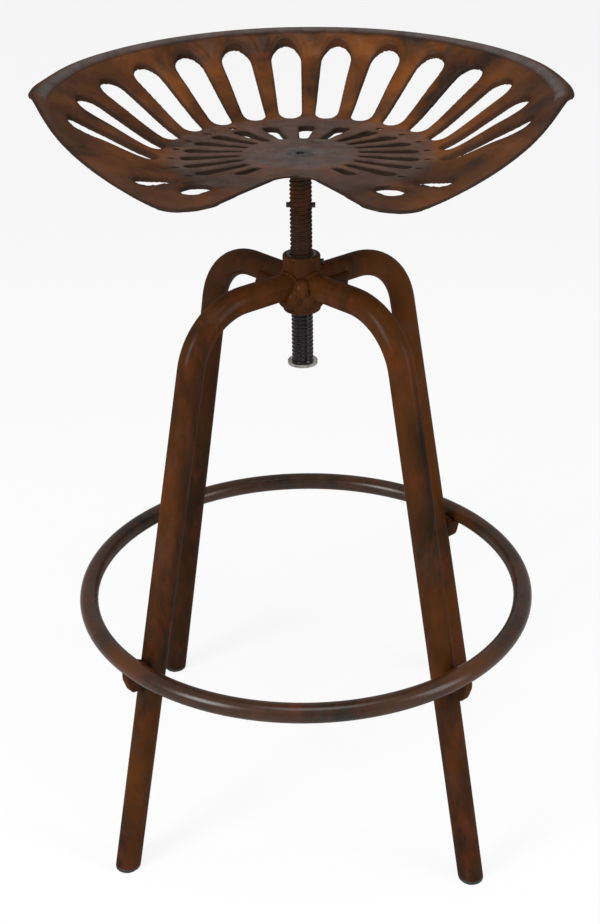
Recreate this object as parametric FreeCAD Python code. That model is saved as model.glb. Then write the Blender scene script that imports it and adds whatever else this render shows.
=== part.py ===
import FreeCAD, Part
import math
import os

# Tractor seat stool with a screw spindle, four bent tube legs and a footrest ring.
# Millimetres. The origin is on the floor on the spindle's axis, +Z is up and the
# front of the seat faces -Y. The legs stand on the diagonals.

# Legs
leg_diameter = 25.4
leg_wall = 2.0
leg_spread_radius = 248.4
leg_splay = 0.2156
leg_bend_radius = 66.0
arm_height = 573.0

# Foot plugs
foot_flange_height = 4.0
foot_stem_length = 22.0
foot_stem_clearance = 0.1

# Hub
hub_diameter = 36.0
hub_height = 56.0
hub_wall = 3.5
hub_edge_chamfer = 1.2
bush_mouth_chamfer = 1.5
web_thickness = 5.0
web_reach = 44.0

# Lock screw in the hub
lock_screw_diameter = 6.0
lock_screw_height = 593.0
lock_screw_stand_out = 3.0
lock_screw_tip_gap = 0.6

# Footrest ring and the lugs that carry it
ring_radius = 227.0
ring_tube_diameter = 19.0
ring_tube_wall = 1.6
ring_height = 238.0
lug_thickness = 10.0
lug_drop = 29.0
lug_rise = 5.0
lug_top_reach = 7.0
lug_toe_reach = 13.0
lug_toe_round = 4.5

# Spindle and what it carries
spindle_diameter = 21.0
spindle_running_clearance = 0.1
thread_pitch = 4.0
turns_down = 11
turns_up = 13
stop_gap = 0.5
cross_pin_diameter = 5.0
cross_pin_length = 27.0
washer_diameter = 29.0
washer_thickness = 3.0
washer_bore_clearance = 0.1
washer_float = 0.1
end_screw_diameter = 8.0
end_screw_length = 22.0
end_screw_head_diameter = 14.0
end_screw_head_height = 3.0
flange_diameter = 90.0
flange_thickness = 6.0
seat_screw_diameter = 12.0
seat_screw_length = 28.0
seat_screw_head_diameter = 24.0
seat_screw_socket = 8.0
seat_screw_socket_depth = 2.2

# Seat pan
pan_thickness = 3.0
pan_floor_height = 696.0
pan_core_radius = 50.0
pan_core_stand_out = 0.6
pan_sheet_start = 40.0
pan_fold_start = 115.0
pan_fold_end = 150.0
pan_wall_knee = 202.0
wall_slope_back = 0.772
wall_slope_side = 0.55
wall_side_angle = 97.5
wall_end_angle = 137.5
thigh_slope = -0.045
rim_half_width = 243.0
rim_back_reach = 226.0
rim_rise_side = 60.0
rim_rise_back = 72.4
rim_roll_radius = 7.0
rim_lean_side = 28.0
rim_lean_back = 50.0
rim_roll_drop = 80.0
section_step = 12.0
lip_depth = 2.0
lip_thickness = 2.0

# Front edge of the pan, in plan, on the right-hand side
tip_y = -14.0
side_upper = (215.5, -62.0)
side_mid = (167.5, -107.5)
lobe_start = (109.0, -154.5)
lobe_front = (88.0, -163.0)
lobe_end = (60.0, -151.0)
notch_start = (20.0, -84.0)
notch_depth_y = -70.0

# Openings of the pan, all on radial lines from the spindle's axis
slot_pitch = 15.0
slot_first = 7.5
slot_count_side = 6
slot_inner_radius = 129.0
slot_outer_radius = 209.5
slot_inner_width = 23.0
slot_outer_width = 30.0
last_slot_angle = 97.5
last_slot_outer_width = 22.0
thigh_slot_angle = 127.5
thigh_slot_outer_radius = 173.0
thigh_slot_outer_width = 26.0
petal_inner_radius = 54.0
petal_outer_radius = 109.0
petal_inner_width = 8.0
petal_outer_width = 15.0
petal_second_angle = 20.0
petal_third_angle = 37.5
petal_count_even = 7
petal_short_angle = 142.5
petal_short_radius = 84.0
petal_short_width = 11.5
dot_radius = 117.0
dot_diameter = 7.0
dot_first_angle = 37.5
dot_count_side = 7
front_hole_angle = 142.5
front_hole_inner_radius = 117.0
front_hole_outer_radius = 153.0
front_hole_width = 30.0

V = FreeCAD.Vector
UP = V(0, 0, 1)
SIDES = (("front_left", 225.0), ("front_right", 315.0), ("back_left", 135.0), ("back_right", 45.0))
QUARTERS = (("front", 270.0), ("right", 0.0), ("back", 90.0), ("left", 180.0))

leg_r = leg_diameter / 2
hub_r = hub_diameter / 2
hub_bottom = arm_height - hub_height / 2
hub_top = arm_height + hub_height / 2
spindle_r = spindle_diameter / 2
bush_bore_r = spindle_r + spindle_running_clearance
ring_tube_r = ring_tube_diameter / 2
travel_down = turns_down * thread_pitch
travel_up = turns_up * thread_pitch
pin_z = hub_top + travel_down + stop_gap + cross_pin_diameter / 2
washer_top = hub_bottom - travel_up - stop_gap
spindle_bottom = washer_top + washer_float
pan_core_top = pan_floor_height + pan_core_stand_out
pan_underside = pan_floor_height - pan_thickness - pan_core_stand_out


def polar(radius, angle, z=0.0):
    """Point at a radius and an angle in degrees from +X."""
    a = math.radians(angle)
    return V(radius * math.cos(a), radius * math.sin(a), z)


def turned(shape, angle):
    """Copy of a shape turned about the spindle's axis."""
    copy = shape.copy()
    copy.rotate(V(0, 0, 0), UP, angle)
    return copy


def cylinder(radius, z_low, z_high):
    return Part.makeCylinder(radius, z_high - z_low, V(0, 0, z_low))


def save(name, shape):
    shape.exportStep("parts/%s.step" % name)
    print("%-18s solids %d  valid %s  volume %.0f" % (name, len(shape.Solids), shape.isValid(), shape.Volume))


def leg_centre_radius(z):
    """Distance of the straight leg's centreline from the spindle's axis."""
    return leg_spread_radius - leg_splay * z


def leg_path(z_end):
    """Centreline in the XZ plane: level arm, bend, straight splayed leg."""
    corner = V(leg_centre_radius(arm_height), 0, arm_height)
    down = V(leg_splay, 0, -1).normalize()
    turn = math.acos(down.x)
    tangent = leg_bend_radius * math.tan(turn / 2)
    bend_start = corner - V(tangent, 0, 0)
    bend_end = corner + down * tangent
    centre = bend_start - V(0, 0, leg_bend_radius)
    half = math.pi / 2 - turn / 2
    bend_mid = centre + V(math.cos(half), 0, math.sin(half)) * leg_bend_radius
    foot = V(leg_centre_radius(z_end), 0, z_end)
    edges = [
        Part.LineSegment(V(0, 0, arm_height), bend_start).toShape(),
        Part.Arc(bend_start, bend_mid, bend_end).toShape(),
        Part.LineSegment(bend_end, foot).toShape(),
    ]
    return Part.Wire(edges)


def leg_rod(radius):
    """Round bar along the leg's centreline, running on below the floor."""
    circle = Part.Circle(V(0, 0, arm_height), V(1, 0, 0), radius)
    section = Part.Wire([circle.toShape()])
    return leg_path(-2 * leg_diameter).makePipeShell([section], True, False)


def below(z):
    """Large block that fills the space under a height."""
    size = 4 * leg_spread_radius
    return Part.makeBox(size, size, size, V(-size / 2, -size / 2, z - size))


LEG_BAR = leg_rod(leg_r)
LEG_BORE = leg_rod(leg_r - leg_wall)
STEM_BAR = leg_rod(leg_r - leg_wall - foot_stem_clearance)
HUB_SOLID = cylinder(hub_r, hub_bottom, hub_top)


def leg():
    """Bent tube, notched to the hub at the top and cut level above the foot plug."""
    notch = cylinder(hub_r, hub_bottom - leg_diameter, hub_top + leg_diameter)
    tube = LEG_BAR.cut(LEG_BORE)
    return tube.cut(notch).cut(below(foot_flange_height))


def foot_plug():
    """Flat-bottomed plug: a flange as wide as the tube and a stem inside it."""
    slab = below(foot_flange_height).cut(below(0))
    flange = LEG_BAR.common(slab)
    stem_slab = below(foot_flange_height + foot_stem_length).cut(below(foot_flange_height))
    return flange.fuse(STEM_BAR.common(stem_slab)).removeSplitter()


def web():
    """Corner plate between two arms, welded to both arms and to the hub."""
    side = web_reach + leg_r
    points = [V(0, 0, 0), V(web_reach, -side, 0), V(web_reach, side, 0), V(0, 0, 0)]
    plate = Part.Face(Part.makePolygon(points)).extrude(V(0, 0, web_thickness))
    plate.translate(V(0, 0, arm_height - web_thickness / 2))
    for angle in (45.0, -45.0):
        plate = plate.cut(turned(LEG_BAR, angle))
    return max(plate.cut(HUB_SOLID).Solids, key=lambda s: s.Volume)


def hub_sleeve():
    sleeve = HUB_SOLID.makeChamfer(hub_edge_chamfer, [e for e in HUB_SOLID.Edges if len(e.Vertexes) == 1])
    return sleeve.cut(cylinder(hub_r - hub_wall, hub_bottom, hub_top)).cut(lock_screw_bar())


def threaded_bush():
    bush = cylinder(hub_r - hub_wall, hub_bottom, hub_top).cut(cylinder(bush_bore_r, hub_bottom, hub_top))
    mouths = [e for e in bush.Edges if len(e.Vertexes) == 1 and e.Length < 2 * math.pi * (bush_bore_r + 0.01)]
    return bush.makeChamfer(bush_mouth_chamfer, mouths).cut(lock_screw_bar())


def lock_screw_bar():
    """Headless screw that points at the spindle, backed off from it."""
    start = spindle_r + lock_screw_tip_gap
    length = hub_r + lock_screw_stand_out - start
    return Part.makeCylinder(lock_screw_diameter / 2, length, V(start, 0, lock_screw_height), V(1, 0, 0))


def lock_screw():
    screw = lock_screw_bar()
    outer = screw.BoundBox.XMax
    depth = lock_screw_diameter / 3
    slot = Part.makeBox(depth, lock_screw_diameter, lock_screw_diameter / 5)
    slot.translate(V(outer - depth, -lock_screw_diameter / 2, lock_screw_height - lock_screw_diameter / 10))
    return screw.cut(slot)


def torus(tube_r):
    return Part.makeTorus(ring_radius, tube_r, V(0, 0, ring_height))


def footrest_ring():
    return torus(ring_tube_r).cut(torus(ring_tube_r - ring_tube_wall))


def ring_lug():
    """Wedge under the ring, welded to the leg behind it and cupped to both."""
    leg_top = leg_centre_radius(ring_height + lug_rise)
    toe = leg_centre_radius(ring_height - lug_drop) + leg_r + lug_toe_reach
    outer = ring_radius + lug_top_reach
    low = ring_height - lug_drop
    points = [
        V(leg_top, 0, ring_height + lug_rise),
        V(ring_radius, 0, ring_height + lug_rise),
        V(outer, 0, ring_height),
        V(outer, 0, ring_height - ring_tube_r - lug_toe_round),
        V(toe, 0, low),
        V(leg_centre_radius(low), 0, low),
    ]
    profile = Part.Face(Part.makePolygon(points + points[:1]))
    plate = profile.extrude(V(0, lug_thickness, 0))
    plate.translate(V(0, -lug_thickness / 2, 0))
    toe_edges = [e for e in plate.Edges
                 if abs(e.BoundBox.XMax - toe) < 0.01 and abs(e.BoundBox.XMin - toe) < 0.01]
    plate = plate.makeFillet(lug_toe_round, toe_edges)
    plate = plate.cut(LEG_BAR).cut(torus(ring_tube_r))
    return max(plate.Solids, key=lambda s: s.Volume)


def spindle():
    rod = cylinder(spindle_r, spindle_bottom, pan_underside)
    pin_hole = cross_pin()
    seat_tap = cylinder(seat_screw_diameter / 2, pan_floor_height - seat_screw_length, pan_underside)
    end_tap = cylinder(end_screw_diameter / 2, spindle_bottom, end_screw_top())
    return rod.cut(pin_hole).cut(seat_tap).cut(end_tap)


def cross_pin():
    start = V(-cross_pin_length / 2, 0, pin_z)
    return Part.makeCylinder(cross_pin_diameter / 2, cross_pin_length, start, V(1, 0, 0))


def end_washer():
    bore = end_screw_diameter / 2 + washer_bore_clearance
    low = washer_top - washer_thickness
    ring = cylinder(washer_diameter / 2, low, washer_top)
    return ring.cut(cylinder(bore, low, washer_top))


def end_screw_top():
    return washer_top - washer_thickness - washer_float + end_screw_length


def end_screw():
    """Pan-head screw that holds the washer on the spindle's lower end."""
    seat = washer_top - washer_thickness - washer_float
    head = cylinder(end_screw_head_diameter / 2, seat - end_screw_head_height, seat)
    low_edge = [e for e in head.Edges if e.BoundBox.ZMax < seat - end_screw_head_height + 0.01]
    head = head.makeChamfer(end_screw_head_height / 2, low_edge)
    return head.fuse(cylinder(end_screw_diameter / 2, seat, end_screw_top())).removeSplitter()


def seat_flange():
    """Round plate under the pan, welded on the spindle's upper end."""
    plate = cylinder(flange_diameter / 2, pan_underside - flange_thickness, pan_underside)
    return plate.cut(cylinder(spindle_r, pan_underside - flange_thickness, pan_underside))


def seat_screw_body():
    head = Part.makeCone(seat_screw_diameter / 2, seat_screw_head_diameter / 2, pan_core_top - pan_underside,
                         V(0, 0, pan_underside))
    shank = cylinder(seat_screw_diameter / 2, pan_floor_height - seat_screw_length, pan_underside)
    return head.fuse(shank)


def seat_screw():
    """Countersunk screw with a six-sided socket, flush with the pan's middle disc."""
    radius = seat_screw_socket / math.sqrt(3)
    low = pan_core_top - seat_screw_socket_depth
    corners = [polar(radius, 60 * i, low) for i in range(6)]
    socket = Part.Face(Part.makePolygon(corners + corners[:1])).extrude(V(0, 0, seat_screw_socket_depth))
    return seat_screw_body().cut(socket).removeSplitter()


def rim_radius(angle):
    """Radius of the rolled rim's outside in plan; the angle runs from the back."""
    a = math.radians(angle)
    return 1 / math.hypot(math.sin(a) / rim_half_width, math.cos(a) / rim_back_reach)


def between(side, back, angle):
    """Value that falls from the back to the sides as the cosine of the angle."""
    return side + (back - side) * max(0.0, math.cos(math.radians(angle)))


def wall_slope(angle):
    """Steepness of the pan's wall: full at the back, gone at the thighs."""
    if angle <= wall_side_angle:
        return wall_slope_back - (wall_slope_back - wall_slope_side) * (angle / wall_side_angle) ** 2
    fade = (wall_end_angle - angle) / (wall_end_angle - wall_side_angle)
    return max(thigh_slope, wall_slope_side * fade)


def pan_rise(radius, angle):
    """Height of the pan's upper face above its flat floor, and its steepness."""
    slope = wall_slope(angle)
    if radius <= pan_fold_start:
        return 0.0, 0.0
    width = pan_fold_end - pan_fold_start
    into = radius - pan_fold_start
    if radius < pan_fold_end:
        return slope * into ** 2 / (2 * width), slope * into / width
    return slope * (into - width / 2), slope


def rim_roll(angle):
    """Centre of the rim's roll in a radial plane, and the lean of the wall that meets it."""
    slope = wall_slope(angle)
    width = pan_fold_end - pan_fold_start
    centre_r = rim_radius(angle) - rim_roll_radius
    lean = between(rim_lean_side, rim_lean_back, angle)
    rise = between(rim_rise_side, rim_rise_back, angle)
    if angle > wall_side_angle:
        lean = math.degrees(math.atan(slope))
        rise = slope * (centre_r - pan_fold_start - width / 2) + rim_roll_radius * (1 - math.cos(math.radians(lean)))
    return centre_r, rise - rim_roll_radius, lean


def sheet_line(depth, angle):
    """Points of the sheet at a depth under its upper face, from the middle over the rim."""
    points = []
    for radius in (pan_sheet_start, 78.0, pan_fold_start, 132.5, pan_fold_end, 176.0, pan_wall_knee):
        rise, slope = pan_rise(radius, angle)
        lean = math.hypot(1, slope)
        shift = 0.0 if radius == pan_sheet_start else depth * slope / lean
        points.append((radius + shift, pan_floor_height + rise - depth / lean))
    centre_r, centre_z, lean = rim_roll(angle)
    sweep = lean + rim_roll_drop
    for part in (0.0, 0.34, 0.67, 1.0):
        a = math.radians(lean - part * sweep)
        reach = rim_roll_radius - depth
        points.append((centre_r - reach * math.sin(a), pan_floor_height + centre_z + reach * math.cos(a)))
    return points


def chord_steps(points):
    """Curve parameters in proportion to the distances between the points."""
    total = [0.0]
    for near, far in zip(points, points[1:]):
        total.append(total[-1] + math.dist(near, far))
    return [t / total[-1] for t in total]


def pan_section(angle, upper_depth, lower_depth, with_roll):
    """Closed outline in one radial plane of the sheet between two depths."""
    turn = min(angle, 360 - angle)
    curves = []
    for depth in (upper_depth, lower_depth):
        lines = [sheet_line(depth, 0.0), sheet_line(depth, turn)]
        if not with_roll:
            lines = [line[:-3] for line in lines]
        curve = Part.BSplineCurve()
        points = [polar(r, 90 - angle, z) for r, z in lines[1]]
        curve.interpolate(Points=points, Parameters=chord_steps(lines[0]))
        curves.append(curve)
    upper, lower = curves
    lower.reverse()
    edges = [
        upper.toShape(),
        Part.LineSegment(upper.EndPoint, lower.StartPoint).toShape(),
        lower.toShape(),
        Part.LineSegment(lower.EndPoint, upper.StartPoint).toShape(),
    ]
    return Part.Wire(edges)


def pan_sheet(upper_depth, lower_depth, with_roll):
    """Closed ring of sheet lofted round the spindle's axis."""
    turns = [section_step * i for i in range(round(360 / section_step))]
    sections = [pan_section(turn, upper_depth, lower_depth, with_roll) for turn in turns]
    return Part.makeLoft(sections, True, False, True)


def pan_outline():
    """Block whose plan is the pan's front edge; it runs on past the rim behind."""
    far = 2 * rim_half_width
    side = Part.BSplineCurve()
    side.interpolate([V(x, y, 0) for x, y in ((rim_half_width, tip_y), side_upper, side_mid, lobe_start)])
    right = [
        Part.LineSegment(V(far, far, 0), V(far, tip_y, 0)),
        Part.LineSegment(V(far, tip_y, 0), V(rim_half_width, tip_y, 0)),
        side,
        Part.Arc(V(*lobe_start, 0), V(*lobe_front, 0), V(*lobe_end, 0)),
        Part.LineSegment(V(*lobe_end, 0), V(*notch_start, 0)),
    ]
    edges = [curve.toShape() for curve in right]
    mirrored = [e.mirror(V(0, 0, 0), V(1, 0, 0)) for e in edges]
    notch = Part.Arc(V(*notch_start, 0), V(0, notch_depth_y, 0), V(-notch_start[0], notch_start[1], 0))
    back = Part.LineSegment(V(far, far, 0), V(-far, far, 0)).toShape()
    loop = Part.Wire(Part.__sortEdges__(edges + [notch.toShape()] + mirrored + [back]))
    block = Part.Face(loop).extrude(V(0, 0, far))
    block.translate(V(0, 0, pan_floor_height - far / 2))
    return block


def round_ended(inner, outer, inner_width, outer_width, angle, grow):
    """Upright bar for a radial slot with round ends, grown all round; the angle runs from the back."""
    a_r, b_r = inner_width / 2, outer_width / 2
    a_c, b_c = inner + a_r, outer - b_r
    lean = math.asin((b_r - a_r) / (b_c - a_c))
    s, c = math.sin(lean), math.cos(lean)
    a_r, b_r = a_r + grow, b_r + grow
    low = pan_floor_height - 4 * pan_thickness
    a_left, a_right = V(a_r * c, a_c - a_r * s, low), V(-a_r * c, a_c - a_r * s, low)
    b_left, b_right = V(b_r * c, b_c - b_r * s, low), V(-b_r * c, b_c - b_r * s, low)
    edges = [
        Part.LineSegment(a_left, b_left).toShape(),
        Part.Arc(b_left, V(0, b_c + b_r, low), b_right).toShape(),
        Part.LineSegment(b_right, a_right).toShape(),
        Part.Arc(a_right, V(0, a_c - a_r, low), a_left).toShape(),
    ]
    cutter = Part.Face(Part.Wire(edges)).extrude(V(0, 0, rim_half_width / 2))
    return turned(cutter, -angle)


def dot(angle):
    centre = polar(dot_radius, 90 - angle, pan_floor_height - 4 * pan_thickness)
    return Part.makeCylinder(dot_diameter / 2, 8 * pan_thickness, centre)


def both_sides(make, angles):
    return [make(side * angle) for angle in angles for side in (1, -1)]


def lipped_openings(grow=0.0):
    """The slots, petals and front holes, whose edges are turned down."""
    def slot(angle):
        return round_ended(slot_inner_radius, slot_outer_radius, slot_inner_width, slot_outer_width,
                           angle, grow)

    def last_slot(angle):
        return round_ended(slot_inner_radius, slot_outer_radius, slot_inner_width,
                           last_slot_outer_width, angle, grow)

    def thigh_slot(angle):
        return round_ended(slot_inner_radius, thigh_slot_outer_radius, slot_inner_width,
                           thigh_slot_outer_width, angle, grow)

    def petal(angle):
        return round_ended(petal_inner_radius, petal_outer_radius, petal_inner_width, petal_outer_width,
                           angle, grow)

    def short_petal(angle):
        return round_ended(petal_inner_radius, petal_short_radius, petal_inner_width,
                           petal_short_width, angle, grow)

    def front_hole(angle):
        return round_ended(front_hole_inner_radius, front_hole_outer_radius, front_hole_width,
                           front_hole_width, angle, grow)

    slots = [slot_first + slot_pitch * i for i in range(slot_count_side)]
    petals = [petal_second_angle] + [petal_third_angle + slot_pitch * i for i in range(petal_count_even)]
    bars = both_sides(slot, slots) + both_sides(last_slot, [last_slot_angle])
    bars += both_sides(thigh_slot, [thigh_slot_angle])
    bars += [petal(0.0)] + both_sides(petal, petals) + both_sides(short_petal, [petal_short_angle])
    return bars + both_sides(front_hole, [front_hole_angle])


def seat_pan():
    """Pressed pan: flat floor, rising wall with a rolled rim, lobed front, radial openings."""
    sheet = pan_sheet(0.0, pan_thickness, True)
    core = cylinder(pan_core_radius, pan_underside, pan_core_top)
    lip_band = pan_sheet(pan_thickness / 2, pan_thickness + lip_depth, False)
    lips = lip_band.common(lipped_openings(lip_thickness))
    pan = sheet.fuse(lips).common(pan_outline()).fuse(core)
    dots = both_sides(dot, [dot_first_angle + slot_pitch * i for i in range(dot_count_side)])
    return pan.cut(lipped_openings() + dots).cut(seat_screw_body())


def main():
    os.makedirs("parts", exist_ok=True)
    save("hub_sleeve", hub_sleeve())
    save("threaded_bush", threaded_bush())
    save("hub_lock_screw", lock_screw())
    save("footrest_ring", footrest_ring())
    one_leg, one_plug, one_lug, one_web = leg(), foot_plug(), ring_lug(), web()
    for name, angle in SIDES:
        save("leg_" + name, turned(one_leg, angle))
        save("foot_plug_" + name, turned(one_plug, angle))
        save("ring_lug_" + name, turned(one_lug, angle))
    for name, angle in QUARTERS:
        save("hub_web_" + name, turned(one_web, angle))
    save("spindle", spindle())
    save("cross_pin", cross_pin())
    save("end_washer", end_washer())
    save("end_screw", end_screw())
    save("seat_flange", seat_flange())
    save("seat_screw", seat_screw())
    save("seat_pan", seat_pan())


main()
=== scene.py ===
import math
import random
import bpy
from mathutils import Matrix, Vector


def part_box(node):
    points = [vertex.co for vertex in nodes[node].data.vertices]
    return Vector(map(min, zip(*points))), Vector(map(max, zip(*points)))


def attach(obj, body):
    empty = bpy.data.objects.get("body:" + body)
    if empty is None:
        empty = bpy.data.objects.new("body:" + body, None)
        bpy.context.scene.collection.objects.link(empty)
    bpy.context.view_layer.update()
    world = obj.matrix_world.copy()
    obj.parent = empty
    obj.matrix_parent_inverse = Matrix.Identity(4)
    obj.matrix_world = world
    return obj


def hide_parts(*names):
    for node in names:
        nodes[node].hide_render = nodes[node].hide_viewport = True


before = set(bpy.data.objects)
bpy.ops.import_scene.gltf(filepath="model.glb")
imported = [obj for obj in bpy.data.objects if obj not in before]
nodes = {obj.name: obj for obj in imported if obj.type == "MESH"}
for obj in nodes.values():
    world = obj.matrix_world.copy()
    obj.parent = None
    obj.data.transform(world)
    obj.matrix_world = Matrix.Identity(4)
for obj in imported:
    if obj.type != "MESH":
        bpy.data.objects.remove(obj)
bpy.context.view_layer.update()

from types import SimpleNamespace

import bmesh
import bpy
import numpy as np
from mathutils import Matrix, Vector

# Looks of the tractor seat stool. Metres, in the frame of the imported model:
# origin on the floor on the spindle's axis, +Z up, the seat's front faces -Y.
# Values that are easier to read in millimetres are multiplied by MM where they are used.

MM = 0.001
SEAM_GAP = 0.00001
LEG_ANGLES = {"front_left": 225.0, "front_right": 315.0, "back_left": 135.0, "back_right": 45.0}

# Sizes shared with the model, measured from its nodes where they can be
hub_low, hub_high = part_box("hub_sleeve")
hub_r = hub_high.x
arm_height = (hub_low.z + hub_high.z) / 2
leg_r = 12.7 * MM
floor_spread = 248.4 * MM
leg_splay = 0.2156
spindle_low, spindle_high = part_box("spindle")
ring_low, ring_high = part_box("footrest_ring")
ring_tube_r = (ring_high.z - ring_low.z) / 2
ring_height = (ring_high.z + ring_low.z) / 2
ring_radius = ring_high.y - ring_tube_r
pan_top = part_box("seat_pan")[1].z


# Small helpers

def mesh_of(bm, name):
    """New mesh with what bm holds, after which bm is gone."""
    mesh = bpy.data.meshes.new(name)
    bm.to_mesh(mesh)
    bm.free()
    return mesh


def joined_copy(node):
    """Copy of a node's shape with its seams closed, to edit."""
    bm = bmesh.new()
    bm.from_mesh(nodes[node].data)
    bmesh.ops.remove_doubles(bm, verts=bm.verts, dist=SEAM_GAP)
    return bm


def smooth_shade(mesh, sharp_degrees=50):
    """Smooth shading with edges sharper than the angle kept crisp."""
    sharp_angle = math.radians(sharp_degrees)
    bm = bmesh.new()
    bm.from_mesh(mesh)
    bmesh.ops.remove_doubles(bm, verts=bm.verts, dist=SEAM_GAP)
    for face in bm.faces:
        face.smooth = True
    for edge in bm.edges:
        edge.smooth = edge.calc_face_angle(0.0) < sharp_angle
    bm.to_mesh(mesh)
    bm.free()


def applied_mesh(mesh, steps):
    """Mesh after a list of (modifier type, {setting: value})."""
    holder = bpy.data.objects.new("holder", mesh)
    bpy.context.scene.collection.objects.link(holder)
    for kind, settings in steps:
        modifier = holder.modifiers.new(kind, kind)
        for key, value in settings.items():
            setattr(modifier, key, value)
    graph = bpy.context.evaluated_depsgraph_get()
    result = bpy.data.meshes.new_from_object(holder.evaluated_get(graph))
    bpy.data.objects.remove(holder)
    return result


def rounded(mesh, voxel, rounds):
    """The shape with its edges and joints rounded, as thick paint, weld and casting round them."""
    steps = [("REMESH", {"mode": "VOXEL", "voxel_size": voxel}),
             ("SMOOTH", {"factor": 0.5, "iterations": rounds})]
    mesh = applied_mesh(mesh, steps)
    for polygon in mesh.polygons:
        polygon.use_smooth = True
    return mesh


def softened(node, voxel, rounds):
    """A node's shape, rounded."""
    return rounded(mesh_of(joined_copy(node), node), voxel, rounds)


def paint_node(node, material):
    """Gives a node of the model its material, with its shape as it is."""
    nodes[node].data.materials.clear()
    nodes[node].data.materials.append(material)


def add_piece(name, mesh, body, material):
    piece = bpy.data.objects.new(name, mesh)
    bpy.context.scene.collection.objects.link(piece)
    piece.data.materials.clear()
    piece.data.materials.append(material)
    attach(piece, body)
    return piece


def stand_for(node, mesh, body, material):
    """Adds the mesh as a piece that shows in place of a node."""
    piece = add_piece(node + "_look", mesh, body, material)
    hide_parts(node)


def turned(point, degrees):
    return Matrix.Rotation(math.radians(degrees), 3, "Z") @ point


# Shader nodes. A value is a number or the output of another shader node.

def node_tree(name):
    material = bpy.data.materials.new(name)
    material.use_nodes = True
    tree = material.node_tree
    shader = tree.nodes["Principled BSDF"]
    return material, tree, shader


def math_node(tree, operation, first, second=None, clamp=False):
    node = tree.nodes.new("ShaderNodeMath")
    node.operation = operation
    node.use_clamp = clamp
    for socket, value in zip(node.inputs, (first, second)):
        if isinstance(value, float):
            socket.default_value = value
        elif value is not None:
            tree.links.new(value, socket)
    return node.outputs[0]


def scaled(tree, value, factor):
    return math_node(tree, "MULTIPLY", value, factor)


def noise_node(tree, coords, scale, detail, roughness, distortion=0.0):
    texture = tree.nodes.new("ShaderNodeTexNoise")
    texture.inputs["Scale"].default_value = scale
    texture.inputs["Detail"].default_value = detail
    texture.inputs["Roughness"].default_value = roughness
    texture.inputs["Distortion"].default_value = distortion
    tree.links.new(coords, texture.inputs["Vector"])
    return texture.outputs["Fac"]


def map_range(tree, value, limits):
    mapping = tree.nodes.new("ShaderNodeMapRange")
    for socket, limit in limits.items():
        mapping.inputs[socket].default_value = limit
    tree.links.new(value, mapping.inputs["Value"])
    return mapping.outputs["Result"]


def ramp(tree, value, low, high):
    """Value stretched so that low gives 0 and high gives 1."""
    return map_range(tree, value, {"From Min": low, "From Max": high})


def spread(tree, value, low, high):
    """Value from 0 to 1 turned into low to high."""
    return map_range(tree, value, {"To Min": low, "To Max": high})


def patches(tree, coords, noise, limits):
    """Noise stretched between two limits, as patches of 1 on 0."""
    return ramp(tree, noise_node(tree, coords, *noise), *limits)


def mix_color(tree, factor, first, second):
    """The first colour where the factor is 0 and the second where it is 1."""
    mix = tree.nodes.new("ShaderNodeMix")
    mix.data_type = "RGBA"
    tree.links.new(factor, mix.inputs["Factor"])
    color_inputs = mix.inputs[6], mix.inputs[7]
    for socket, value in zip(color_inputs, (first, second)):
        if isinstance(value, tuple):
            socket.default_value = (*value, 1.0)
        else:
            tree.links.new(value, socket)
    color_output = mix.outputs[2]
    return color_output


def mapped_coords(tree, scale=(1, 1, 1)):
    coords = tree.nodes.new("ShaderNodeTexCoord")
    mapping = tree.nodes.new("ShaderNodeMapping")
    mapping.inputs["Scale"].default_value = scale
    tree.links.new(coords.outputs["Object"], mapping.inputs["Vector"])
    return mapping.outputs["Vector"]


def split_coords(tree, kind):
    """X, Y and Z outputs of a kind of texture coordinate."""
    coords = tree.nodes.new("ShaderNodeTexCoord")
    split = tree.nodes.new("ShaderNodeSeparateXYZ")
    tree.links.new(coords.outputs[kind], split.inputs["Vector"])
    return split.outputs


def attribute(tree, name):
    """Value that a mesh carries under a name."""
    node = tree.nodes.new("ShaderNodeAttribute")
    node.attribute_name = name
    return node.outputs["Fac"]


def base_color(material):
    """What feeds a material's base colour."""
    shader = material.node_tree.nodes["Principled BSDF"]
    return shader.inputs["Base Color"].links[0].from_socket


# Rust-brown paint. Each noise is (scale, detail, roughness, distortion) and its limits.

CLOUDS = (14.0, 5.0, 0.60, 0.4), (0.40, 0.66)
FLECKS = (55.0, 6.0, 0.65), (0.50, 0.72)
RUBBED = (22.0, 6.0, 0.70, 0.6), (0.50, 0.75)
WORN_AND_HIGHLIGHT_PATCHES = (90.0, 6.0, 0.70), (0.10, 0.50)
SMUDGES = (70.0, 5.0, 0.65), (0.35, 0.65)
SPECKS = (420.0, 4.0, 0.60), (0.62, 0.74)
GLOSS_NOISE = (38.0, 5.0, 0.60)
LUMP_NOISE = (150.0, 6.0, 0.60)
FLECK_STRENGTH = 0.65
SPECK_STRENGTH = 0.35
SMUDGED_GREY = 0.62
LUMP_STRENGTH = 0.25
LUMP_HEIGHT = 0.8 * MM
COAT_ROUGHNESS = 0.24

BROWN = (0.068, 0.0215, 0.0045)
RED = (0.105, 0.024, 0.008)
# Painted shade on upright faces of the pan
SHADED_STEEP = (0.027, 0.0145, 0.0085)
SHADED = (0.020, 0.014, 0.012)
OILED = (0.028, 0.025, 0.026)

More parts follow.
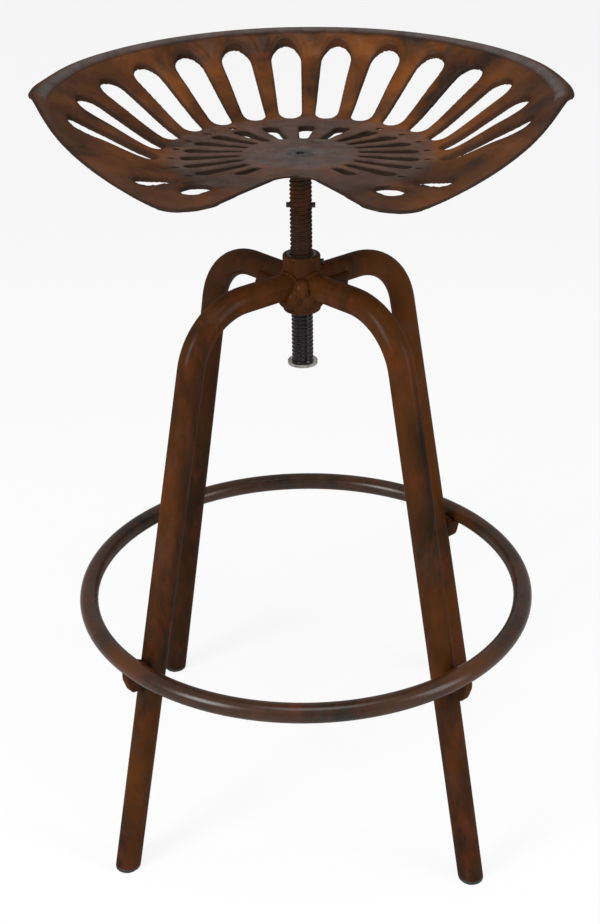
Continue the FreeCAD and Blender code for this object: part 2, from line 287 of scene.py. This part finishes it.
# Colours of each paint: the brown ground, dark clouds, red flecks and grey rubbed patches
RUST_COLORS = (BROWN, (0.019, 0.0095, 0.0050), RED, (0.090, 0.060, 0.050))
# Painted shade: a darker copy of the rust paint for the back-left leg, which stands behind the front-left
# one
SHADED_LEG_COLORS = ((0.034, 0.012, 0.0035), (0.013, 0.007, 0.004),
               (0.070, 0.018, 0.006), (0.045, 0.032, 0.027))
RING_COLORS = ((0.048, 0.019, 0.0085), (0.013, 0.0075, 0.0045),
               (0.075, 0.020, 0.007), (0.062, 0.045, 0.038))
PAN_COLORS = ((0.155, 0.051, 0.013), (0.026, 0.014, 0.008), RED, (0.104, 0.083, 0.077))
SPINDLE_COLORS = ((0.050, 0.022, 0.010), (0.014, 0.009, 0.006), RED, (0.07, 0.05, 0.04))

ALONG_THE_LEGS = (1, 1, 0.35)
EVEN = (1, 1, 1)


def steep_faces(tree):
    """1 on faces that stand upright, such as the walls of the openings and the outside of the rim, 0 on
    level ones; these get painted shade.
    """
    level = math_node(tree, "ABSOLUTE", split_coords(tree, "Normal")["Z"])
    return ramp(tree, level, 0.60, 0.20)


def antique_paint(name, colors, stretch, grey_amount, masks=False, rough=(0.36, 0.6), coat=0.08):
    """Hand-rubbed paint. With masks, the mesh says where it is worn or has painted highlights, and where
    painted shade goes, on upright faces too.
    """
    brown, dark, red, grey = colors
    material, tree, shader = node_tree(name)
    plain = mapped_coords(tree)
    streaky = mapped_coords(tree, stretch)
    color = mix_color(tree, patches(tree, streaky, *CLOUDS), brown, dark)
    flecks = scaled(tree, patches(tree, streaky, *FLECKS), FLECK_STRENGTH)
    color = mix_color(tree, flecks, color, red)
    greyed = scaled(tree, patches(tree, plain, *RUBBED), grey_amount)
    if masks:
        # Grey where the paint is worn, and painted highlights along the pan's fold and front edge
        worn_and_highlight = scaled(tree, attribute(tree, "worn_and_highlight"), patches(tree, plain, *WORN_AND_HIGHLIGHT_PATCHES))
        greyed = math_node(tree, "ADD", greyed, worn_and_highlight, clamp=True)
    dark_grey = tuple(SMUDGED_GREY * channel for channel in grey)
    greys = mix_color(tree, patches(tree, plain, *SMUDGES), grey, dark_grey)
    color = mix_color(tree, greyed, color, greys)
    specks = scaled(tree, patches(tree, plain, *SPECKS), SPECK_STRENGTH)
    color = mix_color(tree, specks, color, dark)
    if masks:
        # Painted shade: upright faces darker, such as the walls of the openings and the rim's outside
        steep_shade = scaled(tree, steep_faces(tree), attribute(tree, "steep_shade"))
        color = mix_color(tree, steep_shade, color, SHADED_STEEP)
        # Painted shade where the mesh's shade mask says
        color = mix_color(tree, attribute(tree, "shade"), color, SHADED)
    tree.links.new(color, shader.inputs["Base Color"])
    roughness = spread(tree, noise_node(tree, plain, *GLOSS_NOISE), *rough)
    tree.links.new(roughness, shader.inputs["Roughness"])
    shader.inputs["Specular IOR Level"].default_value = 0.0
    shader.inputs["Coat Weight"].default_value = coat
    shader.inputs["Coat Roughness"].default_value = COAT_ROUGHNESS
    lumps = tree.nodes.new("ShaderNodeBump")
    lumps.inputs["Strength"].default_value = LUMP_STRENGTH
    lumps.inputs["Distance"].default_value = LUMP_HEIGHT
    tree.links.new(noise_node(tree, plain, *LUMP_NOISE), lumps.inputs["Height"])
    tree.links.new(lumps.outputs["Normal"], shader.inputs["Normal"])
    return material


def oiled_below(material, low, high):
    """Turns a paint into black oiled steel under a height, through a change from high to low."""
    metallic = 0.85
    oiled_roughness, painted_roughness = 0.26, 0.5
    tree = material.node_tree
    shader = tree.nodes["Principled BSDF"]
    height = split_coords(tree, "Object")["Z"]
    painted = ramp(tree, height, low, high)
    oiled = ramp(tree, height, high, low)
    color = mix_color(tree, painted, OILED, base_color(material))
    roughness = spread(tree, painted, oiled_roughness, painted_roughness)
    tree.links.new(color, shader.inputs["Base Color"])
    tree.links.new(scaled(tree, oiled, metallic), shader.inputs["Metallic"])
    tree.links.new(roughness, shader.inputs["Roughness"])


def brown_at_legs(material, full, gone):
    """Turns the ring's dark paint brown where the ring crosses the legs, on the diagonals."""
    strength = 0.8
    tree = material.node_tree
    shader = tree.nodes["Principled BSDF"]
    place = split_coords(tree, "Object")
    sizes = [math_node(tree, "ABSOLUTE", place[axis]) for axis in "XY"]
    off_diagonal = math_node(tree, "ABSOLUTE", math_node(tree, "SUBTRACT", *sizes))
    near = scaled(tree, ramp(tree, off_diagonal, gone, full), strength)
    color = mix_color(tree, near, base_color(material), BROWN)
    tree.links.new(color, shader.inputs["Base Color"])


def plain_metal(name, color, dark, metallic, rough, scale=200.0):
    """Metal or plastic in one colour with darker patches, which are a little rougher."""
    variation = 0.1
    material, tree, shader = node_tree(name)
    dirt = patches(tree, mapped_coords(tree), (scale, 5.0, 0.65), (0.38, 0.68))
    roughness = spread(tree, dirt, rough - variation, rough + variation)
    tree.links.new(mix_color(tree, dirt, color, dark), shader.inputs["Base Color"])
    tree.links.new(roughness, shader.inputs["Roughness"])
    shader.inputs["Metallic"].default_value = metallic
    return material


paint = antique_paint("rust_paint", RUST_COLORS, ALONG_THE_LEGS, 0.22)
shaded_leg_paint = antique_paint("shaded_rust_paint", SHADED_LEG_COLORS, ALONG_THE_LEGS, 0.22)
ring_paint = antique_paint("ring_paint", RING_COLORS, EVEN, 0.4, coat=0.5)
brown_at_legs(ring_paint, 20 * MM, 60 * MM)
pan_paint = antique_paint("pan_paint", PAN_COLORS, EVEN, 0.22, masks=True, rough=(0.34, 0.55))
spindle_paint = antique_paint("spindle_paint", SPINDLE_COLORS, EVEN, 0.3)
oiled_below(spindle_paint, hub_low.z, hub_high.z)
bush_metal = plain_metal("bush_metal", (0.060, 0.040, 0.030), (0.020, 0.014, 0.010), 0.6, 0.5)
dark_metal = plain_metal("dark_metal", (0.016, 0.012, 0.010), (0.008, 0.006, 0.005), 0.1, 0.55)
zinc = plain_metal("zinc", (0.38, 0.36, 0.35), (0.15, 0.13, 0.12), 0.9, 0.34)
plug_plastic = plain_metal("plug_plastic", (0.0075, 0.0075, 0.0075), (0.014, 0.014, 0.014), 0.0, 0.6,
                           scale=300.0)


# Spindle with its thread. The flat and each flank are given as shares of the pitch.

THREAD_PITCH = 4.0 * MM
THREAD_DEPTH = 1.0 * MM
THREAD_FLAT = 0.29
THREAD_FLANK = 0.21
THREAD_RUN_OUT = 3 * MM
THREAD_CORNERS = 48
THREAD_ROWS_A_PITCH = 12


def thread_radius(phase, crest, root):
    """Trapezoidal thread profile over one pitch; phase runs from 0 to 1."""
    if phase < THREAD_FLAT:
        return crest
    if phase < THREAD_FLAT + THREAD_FLANK:
        return crest - (crest - root) * (phase - THREAD_FLAT) / THREAD_FLANK
    if phase < 1 - THREAD_FLANK:
        return root
    return root + (crest - root) * (phase - 1 + THREAD_FLANK) / THREAD_FLANK


def spindle_mesh(low, high, crest):
    """Rod with a right-hand thread along its length; the ends run out plain."""
    rows = round((high - low) / THREAD_PITCH * THREAD_ROWS_A_PITCH)
    bm = bmesh.new()
    rings = []
    for i in range(rows + 1):
        z = low + (high - low) * i / rows
        from_end = min(1.0, (z - low) / THREAD_RUN_OUT, (high - z) / THREAD_RUN_OUT)
        root = crest - THREAD_DEPTH * max(0.0, from_end)
        ring = []
        for k in range(THREAD_CORNERS):
            a = 2 * math.pi * k / THREAD_CORNERS
            phase = ((z / THREAD_PITCH) - a / (2 * math.pi)) % 1.0
            r = thread_radius(phase, crest, root)
            ring.append(bm.verts.new((r * math.cos(a), r * math.sin(a), z)))
        rings.append(ring)
    for a, b in zip(rings, rings[1:]):
        for k in range(THREAD_CORNERS):
            n = (k + 1) % THREAD_CORNERS
            bm.faces.new((a[k], a[n], b[n], b[k]))
    bm.faces.new(list(reversed(rings[0])))
    bm.faces.new(rings[-1])
    mesh = mesh_of(bm, "spindle_look")
    smooth_shade(mesh, sharp_degrees=38)
    return mesh


# Welds: a rippled bead round each arm, and lumps at the hub's front and between leg and ring.
# Each lump is (place, radius) in millimetres. A lug's lumps are placed across the leg and up
# from the ring's middle.

BEAD_RADIUS = 2.4 * MM
BEAD_CORNERS = 10
BEAD_POINTS = 64
BEAD_INTO_ARM = 0.9 * MM
BEAD_OFF_HUB = 0.6 * MM
BEAD_SEEDS = {"front_left": 10, "front_right": 11, "back_left": 9, "back_right": 10}
RIPPLE = 0.16
RIPPLE_STEP = 1.35
UNEVEN = 0.09
FRONT_LUMPS = [((2, -20, 573), 10), ((-6, -19, 564), 11), ((9, -18, 564), 10), ((-12, -14, 561), 10),
               ((13, -14, 560), 9), ((0, -17, 558), 10), ((4, -24, 572), 6.5), ((-9, -22, 561), 7.5)]
LUG_LUMPS = [((0, -8), 7.0), ((-6, -8), 6.0), ((6, -8), 6.0), ((0, -14), 6.5)]


def weld_bead(name, points, seed):
    """Rippled bead along a closed line of points."""
    rng = random.Random(seed)
    bm = bmesh.new()
    rings = []
    for i, point in enumerate(points):
        ahead = points[(i + 1) % len(points)]
        run = (ahead - points[i - 1]).normalized()
        side = run.cross(Vector((0, 0, 1)))
        if side.length < 0.1:
            side = run.cross(Vector((1, 0, 0)))
        side.normalize()
        up = side.cross(run).normalized()
        swell = BEAD_RADIUS * (1 + RIPPLE * math.sin(i * RIPPLE_STEP) + rng.uniform(-UNEVEN, UNEVEN))
        ring = []
        for k in range(BEAD_CORNERS):
            a = 2 * math.pi * k / BEAD_CORNERS
            ring.append(bm.verts.new(point + side * swell * math.cos(a) + up * swell * math.sin(a)))
        rings.append(ring)
    for a, b in zip(rings, rings[1:] + rings[:1]):
        for k in range(BEAD_CORNERS):
            n = (k + 1) % BEAD_CORNERS
            bm.faces.new((a[k], b[k], b[n], a[n]))
    bmesh.ops.recalc_face_normals(bm, faces=bm.faces)
    for face in bm.faces:
        face.smooth = True
    add_piece(name, mesh_of(bm, name), "base", paint)


def arm_weld_points(degrees):
    """Line where a level arm meets the hub's round side."""
    reach = leg_r - BEAD_INTO_ARM
    weld_r = hub_r + BEAD_OFF_HUB
    points = []
    for i in range(BEAD_POINTS):
        a = 2 * math.pi * i / BEAD_POINTS
        y, z = reach * math.cos(a), reach * math.sin(a)
        x = math.sqrt(weld_r ** 2 - y * y)
        points.append(turned(Vector((x, y, z + arm_height)), degrees))
    return points


def add_lump(bm, place, radius, subdivisions):
    step = Matrix.Translation(place)
    bmesh.ops.create_icosphere(bm, subdivisions=subdivisions, radius=radius * MM, matrix=step)


def front_weld_mesh():
    """Front corner plate under its heavy weld: lumps run together round the hub's lower half."""
    bm = bmesh.new()
    for place, radius in FRONT_LUMPS:
        add_lump(bm, Vector(place) * MM, radius, subdivisions=4)
    return rounded(mesh_of(bm, "front_weld"), voxel=0.7 * MM, rounds=16)


def welded_lug(side):
    """Ring lug with the weld that runs from it and the leg to the ring."""
    bm = joined_copy("ring_lug_" + side)
    cut_height = ring_height - 1.5 * MM
    bmesh.ops.bisect_plane(bm, geom=bm.verts[:] + bm.edges[:] + bm.faces[:],
                           plane_co=(0, 0, cut_height), plane_no=(0, 0, 1), clear_outer=True)
    bmesh.ops.holes_fill(bm, edges=[e for e in bm.edges if e.is_boundary])
    leg_side = floor_spread - leg_splay * ring_height + leg_r
    gap = (leg_side + ring_radius - ring_tube_r) / 2
    for (across, up), radius in LUG_LUMPS:
        place = Vector((gap, across * MM, ring_height + up * MM))
        add_lump(bm, turned(place, LEG_ANGLES[side]), radius, subdivisions=3)
    return rounded(mesh_of(bm, "welded_lug"), voxel=0.8 * MM, rounds=8)


def crisp_copy(node):
    mesh = nodes[node].data.copy()
    smooth_shade(mesh)
    return mesh


def build_base():
    for side, angle in LEG_ANGLES.items():
        # The back-left leg gets the darker copy of the paint, as painted shade behind the front-left leg
        leg_paint = shaded_leg_paint if side == "back_left" else paint
        plug = "foot_plug_" + side
        plug_mesh = softened(plug, voxel=0.9 * MM, rounds=5)
        stand_for("leg_" + side, crisp_copy("leg_" + side), "base", leg_paint)
        stand_for("ring_lug_" + side, welded_lug(side), "base", paint)
        stand_for(plug, plug_mesh, "base", plug_plastic)
        weld_bead("hub_weld_" + side, arm_weld_points(angle), BEAD_SEEDS[side])
    stand_for("footrest_ring", crisp_copy("footrest_ring"), "base", ring_paint)
    for node in ("hub_sleeve", "hub_web_right", "hub_web_back", "hub_web_left"):
        stand_for(node, softened(node, voxel=0.7 * MM, rounds=4), "base", paint)
    stand_for("hub_web_front", front_weld_mesh(), "base", paint)
    paint_node("threaded_bush", bush_metal)
    paint_node("hub_lock_screw", dark_metal)


# Openings of the pan, in millimetres, as the model has them. Each is round-ended on a line
# from the axis: (angle from the back, inner radius, outer radius, inner width, outer width).

SLOT_INNER = 129
SLOT_OUTER = 209.5
PETAL_INNER = 54
PETAL_OUTER = 109
OPENING_STEP = 15
WALL_SLOTS = [(7.5 + OPENING_STEP * i, SLOT_INNER, SLOT_OUTER, 23, 30) for i in range(6)]
SIDE_SLOTS = [(97.5, SLOT_INNER, SLOT_OUTER, 23, 22)]
THIGH_SLOTS = [(127.5, SLOT_INNER, 173, 23, 26)]
FRONT_HOLES = [(142.5, 117, 153, 30, 30)]
PETAL_ANGLES = [20.0] + [37.5 + OPENING_STEP * i for i in range(7)]
PETALS = [(angle, PETAL_INNER, PETAL_OUTER, 8, 15) for angle in PETAL_ANGLES]
SHORT_PETALS = [(142.5, PETAL_INNER, 84, 8, 11.5)]
BACK_PETAL = (0.0, PETAL_INNER, PETAL_OUTER, 8, 15)

# The pan's edge in plan, in millimetres, on the right: its widest reaches, the curve from the
# rim's end to the thigh lobe with a guide point before and after it, and the lobe and notch
RIM_HALF_WIDTH = 243.0
RIM_BACK_REACH = 226.0
SIDE_CURVE = [(270, 34), (243, -14), (215.5, -62), (167.5, -107.5), (109, -154.5), (50, -201)]
LOBE_AND_NOTCH = [(109, -154.5), (100, -160.5), (88, -163), (72, -159.5), (60, -151), (20, -84), (0, -70)]
CURVE_STEPS = 6
FAR = 100.0


def pan_openings():
    """Every opening, those off the middle line on both sides."""
    right = WALL_SLOTS + SIDE_SLOTS + THIGH_SLOTS + FRONT_HOLES + PETALS + SHORT_PETALS
    both = [(side * angle, *rest) for angle, *rest in right for side in (1, -1)]
    return both + [BACK_PETAL]


def slot_distance(x, y, slot):
    """Distance outside a slot's outline, and how far a point is past its outer end."""
    angle, inner, outer, inner_width, outer_width = slot
    a = math.radians(angle)
    across = np.abs(x * math.cos(a) - y * math.sin(a))
    r1, r2 = inner_width / 2, outer_width / 2
    along = x * math.sin(a) + y * math.cos(a) - (inner + r1)
    length = (outer - r2) - (inner + r1)
    b = (r1 - r2) / length
    c = math.sqrt(1 - b * b)
    k = -b * across + c * along
    near = np.hypot(across, along) - r1
    far = np.hypot(across, along - length) - r2
    side = across * c + along * b - r1
    distance = np.where(k < 0, near, np.where(k > c * length, far, side))
    return distance, along - length


def nearest_slot(x, y, slots):
    nearest = np.full(len(x), FAR)
    for slot in slots:
        nearest = np.minimum(nearest, slot_distance(x, y, slot)[0])
    return nearest


def curve_value(t, before, start, end, after):
    """A coordinate of the smooth curve through points, between start and end as t goes from 0 to 1."""
    a, b, c, d = before, start, end, after
    return 0.5 * (2 * b + (c - a) * t + (2 * a - 5 * b + 4 * c - d) * t * t
                  + (3 * b - a - 3 * c + d) * t ** 3)


def front_edge_distance(x, y):
    """Distance to the edge from the rim's end round the thigh lobe into the notch."""
    outline = []
    for four in zip(SIDE_CURVE, SIDE_CURVE[1:], SIDE_CURVE[2:], SIDE_CURVE[3:]):
        for i in range(CURVE_STEPS):
            outline.append([curve_value(i / CURVE_STEPS, *values) for values in zip(*four)])
    outline += LOBE_AND_NOTCH
    nearest = np.full(len(x), FAR)
    for (ax, ay), (bx, by) in zip(outline, outline[1:]):
        length = math.hypot(bx - ax, by - ay)
        ux, uy = (bx - ax) / length, (by - ay) / length
        along = np.clip((np.abs(x) - ax) * ux + (y - ay) * uy, 0, length)
        nearest = np.minimum(nearest, np.hypot(np.abs(x) - ax - along * ux, y - ay - along * uy))
    return nearest


# Profiles from 0 to 1 over a distance

def rise(value, start, width):
    """0 up to start, 1 from a width past it."""
    return np.clip((value - start) / width, 0, 1)


def fall(value, end, width):
    """1 up to a width before end, 0 from end on."""
    return np.clip((end - value) / width, 0, 1)


def ridge(value, middle, half_width):
    return np.clip(1 - np.abs(value - middle) / half_width, 0, 1)


def bell(value, middle, width):
    return np.exp(-((value - middle) / width) ** 2)


# Pan: rolled edges of the openings, embossed arcs, the rim's crease, where the paint is rubbed, and where
# painted shade and painted highlights go.
# Lengths are in millimetres here, and only the mesh's own points are in metres.

# The rim's crease and the outer side of its rubbed strip, as distances in from the edge
CREASE_AT_SIDE = 19.0
CREASE_AT_BACK = 13.0
STRIP_AT_SIDE = 8.0
STRIP_AT_BACK = 3.5
RIM_END_Y = -34
RIM_END_FADE = 16

ARC_OFF_SLOT = 8.5
ARC_HALF_WIDTH = 3.0
ARC_FADE = 6
ARC_HEIGHT = 0.7
CREASE_WIDTH = 1.6
CREASE_DEPTH = 0.6
BEAD_OFF_CREASE = 4.5
BEAD_WIDTH = 2.6
BEAD_HEIGHT = 0.5
ROLL_WIDTH = 5.0
SLOT_ROLL = 1.3
PETAL_ROLL = 0.5
PETAL_LIP = 2.2


def mesh_array(values, name):
    array = np.empty(len(values) * 3)
    values.foreach_get(name, array)
    return array.reshape(-1, 3)


def pan_measures(points, normals):
    """What the shaping and the paint need to know of each vertex."""
    at = SimpleNamespace()
    x, y = points[:, 0] / MM, points[:, 1] / MM
    at.x, at.y = x, y
    at.front = -y
    at.wide = np.abs(x)
    at.upper = rise(normals[:, 2], 0.1, 0.4)
    at.lower = rise(-normals[:, 2], 0.1, 0.4)
    at.radius = np.hypot(x, y)
    span = np.maximum(at.radius, 1)
    back = np.clip(y / span, 0, 1)
    rim_radius = 1 / np.hypot(x / span / RIM_HALF_WIDTH, y / span / RIM_BACK_REACH)
    at.inset = rim_radius - at.radius
    at.sideways = rise(at.wide / span, 0.8, 0.15)
    at.behind = rise(y, RIM_END_Y, RIM_END_FADE)
    at.crease_inset = CREASE_AT_SIDE - (CREASE_AT_SIDE - CREASE_AT_BACK) * back
    at.crease = bell(at.inset, at.crease_inset, CREASE_WIDTH) * at.behind
    at.strip_start = STRIP_AT_SIDE - (STRIP_AT_SIDE - STRIP_AT_BACK) * back
    at.edge = front_edge_distance(x, y)
    at.opening = np.full(len(x), FAR)
    petal = np.full(len(x), FAR)
    at.arcs = np.zeros(len(x))
    for slot in pan_openings():
        distance, past = slot_distance(x, y, slot)
        at.opening = np.minimum(at.opening, distance)
        if slot[1] == SLOT_INNER:
            arc = ridge(distance, ARC_OFF_SLOT, ARC_HALF_WIDTH) * rise(past, 0, ARC_FADE)
            at.arcs = np.maximum(at.arcs, arc)
        if slot[1] == PETAL_INNER:
            petal = np.minimum(petal, distance)
    at.by_slot = petal > at.opening + 0.01
    return at


def shape_upper_side(points, normals, at):
    """Raises the arcs above the slots, rolls the openings' edges down and creases the rim."""
    bead = bell(at.inset - at.crease_inset, -BEAD_OFF_CREASE, BEAD_WIDTH) * at.behind
    roll_depth = np.where(at.by_slot, SLOT_ROLL, PETAL_ROLL)
    roll = roll_depth * fall(at.opening, ROLL_WIDTH, ROLL_WIDTH) ** 2
    lift = ARC_HEIGHT * at.arcs - CREASE_DEPTH * at.crease + BEAD_HEIGHT * bead - roll
    points += normals * (lift * at.upper)[:, None] * MM


def close_front_slots(points, at):
    """Narrows the slots at the front, more on the underside than on top."""
    slots = [slot for slot in pan_openings() if abs(slot[0]) > 90 and slot[1] > PETAL_INNER]
    distance = nearest_slot(at.x, at.y, slots)
    step = 0.2
    outward = np.stack([(nearest_slot(at.x + step, at.y, slots) - distance) / step,
                        (nearest_slot(at.x, at.y + step, slots) - distance) / step], axis=1)
    closing = (0.8 + 2.0 * (1 - at.upper)) * fall(np.abs(distance), 3.5, 1.5)
    closing *= 0.4 + 0.6 * rise(at.front, 50, 40)
    points[:, :2] -= outward * closing[:, None] * MM


def deepen_lips(points, at):
    """Lengthens the turned-down lips round the openings."""
    slot_lip = 0.9 + 1.3 * at.sideways + 1.0 * rise(at.front, 40, 20)
    lip = np.where(at.by_slot, slot_lip, PETAL_LIP)
    points[:, 2] -= lip * MM * at.lower * fall(np.abs(at.opening), 4.5, 1.5)


def worn_and_highlight_mask(at, strip):
    """Where the paint is rubbed grey: the middle, the floor and the rim's strip; with painted highlights,
    lighter grey, along the fold and inside the front edge, stronger on the left.
    """
    disc = fall(at.radius, 62, 16)
    floor = 0.58 * fall(at.radius, 130, 16)
    # Painted highlights: a lighter line along the fold at the back, and a lighter band inside the front
    # edge
    fold_highlight = 0.6 * bell(at.radius, 124, 3.0) * rise(at.y, 0, 40)
    edge_highlight = np.where(at.x < 0, 0.42, 0.22) * bell(at.edge, 6.0, 3.0)
    return np.maximum.reduce([disc, strip, floor, fold_highlight, edge_highlight])


def shade_mask(at, strip):
    """Painted shade: outside the rim, in folds and the crease, at the strip's edges, round the openings,
    along the front edge, at the sides, on the thigh lobes and on the right side.
    """
    outside = 0.93 * fall(at.inset, at.strip_start, 2.0) * at.behind
    across = rise(at.inset, at.strip_start, at.crease_inset - at.strip_start)
    strip_edges = 0.6 * strip * (2 * across - 1) ** 2
    openings = (0.4 + 0.2 * rise(at.wide, 100, 40)) * ridge(at.opening, 0, 3.0)
    outline = 0.9 * fall(at.edge, 2.6, 1.6)
    sides = 0.4 * rise(at.wide, 120, 70) * (strip < 0.5)
    lobes = 0.40 * rise(at.front, 35, 40)
    right_side = 0.5 * rise(at.x, 180, 30) * (strip < 0.5)
    return np.maximum.reduce([outside, 0.7 * at.crease, strip_edges, openings, outline, sides, lobes,
                              right_side])


def shape_pan(mesh):
    """The pan's fine forms, and its masks for the paint: rubbed grey with painted highlights, and painted
    shade.
    """
    points = mesh_array(mesh.vertices, "co")
    normals = mesh_array(mesh.vertex_normals, "vector")
    at = pan_measures(points, normals)
    shape_upper_side(points, normals, at)
    close_front_slots(points, at)
    deepen_lips(points, at)
    points[:, 2] = np.minimum(points[:, 2], pan_top)
    mesh.vertices.foreach_set("co", points.ravel())
    strip = fall(at.inset, at.crease_inset, 1.5) * rise(at.inset, at.strip_start, 2.0) * at.behind
    # Painted shade on upright faces: full near the middle, less on the wall and rim
    steep_shade = 0.35 + 0.65 * fall(at.radius, 126, 8)
    masks = {"worn_and_highlight": worn_and_highlight_mask(at, strip), "shade": shade_mask(at, strip), "steep_shade": steep_shade}
    for name, values in masks.items():
        layer = mesh.attributes.new(name, "FLOAT", "POINT")
        layer.data.foreach_set("value", values.astype(np.float32))
    mesh.update()
    steps = [("SMOOTH", {"factor": 0.5, "iterations": 4}),
             ("DECIMATE", {"ratio": 0.24})]
    return applied_mesh(mesh, steps)


def build_seat():
    pan = shape_pan(softened("seat_pan", voxel=0.85 * MM, rounds=4))
    stand_for("seat_pan", pan, "seat", pan_paint)
    spindle = spindle_mesh(spindle_low.z, spindle_high.z, spindle_high.x)
    stand_for("spindle", spindle, "seat", spindle_paint)
    for node in ("cross_pin", "seat_screw", "end_screw"):
        paint_node(node, dark_metal)
    paint_node("seat_flange", paint)
    paint_node("end_washer", zinc)


# Camera, from the photograph's calibration

def build_camera():
    """Camera at a distance from the axis, turned about it, and then pitched, panned and rolled."""
    distance, height = 1.290, 1.042
    pitch, roll, pan = math.radians(27.16), -0.0143, -0.0032
    turn = math.radians(3.7)
    focal_px, long_side_px = 1433.0, 924.0
    forward = Vector((math.sin(pan) * math.cos(pitch), math.cos(pan) * math.cos(pitch), -math.sin(pitch)))
    right = Vector((math.cos(pan), -math.sin(pan), 0.0))
    up = right.cross(forward)
    right_rolled = math.cos(roll) * right + math.sin(roll) * up
    up_rolled = -math.sin(roll) * right + math.cos(roll) * up
    spin = Matrix.Rotation(turn, 3, "Z")
    basis = Matrix((spin @ right_rolled, spin @ up_rolled, spin @ -forward)).transposed().to_4x4()
    place = spin @ Vector((0.0, -distance, height))
    data = bpy.data.cameras.new("camera")
    data.sensor_fit = "AUTO"
    data.sensor_width = 36.0
    data.lens = focal_px / long_side_px * data.sensor_width
    data.clip_start = 0.05
    camera = bpy.data.objects.new("camera", data)
    camera.matrix_world = Matrix.Translation(place) @ basis
    bpy.context.scene.collection.objects.link(camera)
    bpy.context.scene.camera = camera


# Floor, world and lamps. The floor and the world look white and give less light than that.

GLOSS_SHARE = 0.5
FLOOR_HALF_WIDTH = 40.0
FLOOR_DROP = 0.5 * MM
FLOOR_GREY = (0.86, 0.86, 0.86, 1.0)
FLOOR_WHITE_SHARE = 0.86
WHITE = (1.0, 1.0, 1.0, 1.0)
SOFT_LIGHT = 0.38
SEEN_WHITE = 0.91

# Name, place, point aimed at, width and height, watts
LAMPS = [("key", (-1.7, -1.7, 1.5), (0, 0, 0.4), (0.9, 1.3), 57.0),
         ("fill", (2.0, -0.9, 1.1), (0, 0, 0.4), (0.7, 1.5), 22.0),
         ("top", (0.2, -0.7, 2.6), (0, 0, 0.5), (1.2, 1.0), 19.0)]


def seen_rays(tree):
    """1 for what is seen directly, half for what is seen in a gloss or through glass, 0 for lighting."""
    path = tree.nodes.new("ShaderNodeLightPath")
    total = path.outputs["Is Camera Ray"]
    for kind in ("Is Glossy Ray", "Is Transmission Ray"):
        total = math_node(tree, "MAXIMUM", total, scaled(tree, path.outputs[kind], GLOSS_SHARE))
    return total


def seen_or_lit(tree, factor, lit, seen, output):
    """Sends one shader to lighting rays and another to the rays that show it, by a factor."""
    mix = tree.nodes.new("ShaderNodeMixShader")
    tree.links.new(factor, mix.inputs["Fac"])
    tree.links.new(lit, mix.inputs[1])
    tree.links.new(seen, mix.inputs[2])
    tree.links.new(mix.outputs["Shader"], tree.nodes[output].inputs["Surface"])


def build_stage():
    bm = bmesh.new()
    bmesh.ops.create_grid(bm, x_segments=1, y_segments=1, size=FLOOR_HALF_WIDTH)
    mesh = mesh_of(bm, "floor")
    floor = bpy.data.objects.new("floor", mesh)
    floor.location.z = -FLOOR_DROP
    bpy.context.scene.collection.objects.link(floor)
    material, tree, shader = node_tree("floor_paper")
    shader.inputs["Base Color"].default_value = FLOOR_GREY
    shader.inputs["Roughness"].default_value = 0.9
    shader.inputs["Specular IOR Level"].default_value = 0.1
    white = tree.nodes.new("ShaderNodeEmission")
    share = scaled(tree, seen_rays(tree), FLOOR_WHITE_SHARE)
    seen_or_lit(tree, share, shader.outputs["BSDF"], white.outputs["Emission"], "Material Output")
    mesh.materials.append(material)


def build_world():
    world = bpy.data.worlds.new("studio")
    bpy.context.scene.world = world
    world.use_nodes = True
    tree = world.node_tree
    soft = tree.nodes["Background"]
    white = tree.nodes.new("ShaderNodeBackground")
    for background, strength in ((soft, SOFT_LIGHT), (white, SEEN_WHITE)):
        background.inputs["Color"].default_value = WHITE
        background.inputs["Strength"].default_value = strength
    seen_or_lit(tree, seen_rays(tree), soft.outputs["Background"], white.outputs["Background"],
                "World Output")


def build_lamps():
    for name, place, target, size, watts in LAMPS:
        data = bpy.data.lights.new(name, "AREA")
        data.shape = "RECTANGLE"
        data.size, data.size_y = size
        data.energy = watts
        lamp = bpy.data.objects.new(name, data)
        lamp.location = place
        aim = Vector(target) - Vector(place)
        lamp.rotation_euler = aim.to_track_quat("-Z", "Y").to_euler()
        bpy.context.scene.collection.objects.link(lamp)


bpy.context.scene.view_settings.view_transform = "Standard"
build_camera()
build_world()
build_stage()
build_lamps()
build_base()
build_seat()
